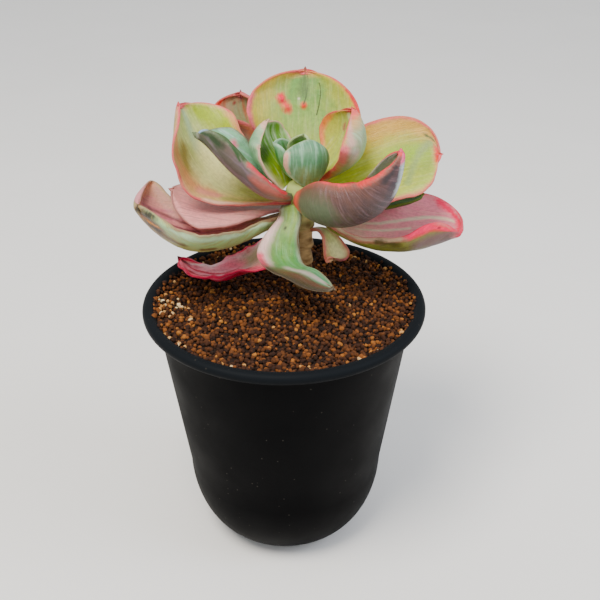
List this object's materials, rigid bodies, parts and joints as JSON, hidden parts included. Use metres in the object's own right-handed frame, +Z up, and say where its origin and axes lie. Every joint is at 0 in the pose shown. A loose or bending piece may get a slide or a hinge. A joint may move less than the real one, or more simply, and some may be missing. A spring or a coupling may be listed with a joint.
{
  "type": "potted echeveria",
  "caption": "Rosette succulent with broad cupped leaves on a short bare stem, standing in a round tapered nursery pot filled with fine granular soil.",
  "frame": {"origin": "centre of the pot's flat foot, where it rests", "axes": "+Z up, -Y toward the side that the picture shows, +X to that viewer's right"},
  "size_m": [0.1209, 0.1069, 0.1754],
  "materials": {
    "pot_plastic": "black polypropylene with a faint matt texture",
    "soil_granules": "fine baked clay granules, brown and reddish, with a few pale ones",
    "stem_skin": "dry brown skin with leaf scars, yellow-green at the crown",
    "leaf_skin": "waxy, pale green to yellow-green with coral pink margins",
    "withered_skin": "shrivelled, hot pink to dark red"
  },
  "bodies": {
    "root": {"pot": "pot_plastic", "soil": "soil_granules", "stem": "stem_skin", "leaf_back": "leaf_skin", "leaf_back_left": "leaf_skin", "leaf_upper_left": "leaf_skin", "leaf_inner_left": "leaf_skin", "leaf_front_right": "leaf_skin", "leaf_upper_right": "leaf_skin", "leaf_lower_right": "leaf_skin", "leaf_shaded_right": "leaf_skin", "leaf_lower_left_front": "leaf_skin", "leaf_lower_left_back": "leaf_skin", "leaf_front_drooping": "leaf_skin", "leaf_front_small": "leaf_skin", "leaf_withered": "withered_skin", "leaf_heart_right": "leaf_skin", "leaf_heart_left": "leaf_skin", "leaf_heart_small_left": "leaf_skin", "leaf_heart_small_back": "leaf_skin", "leaf_heart_front": "leaf_skin"}
  },
  "joints": []
}
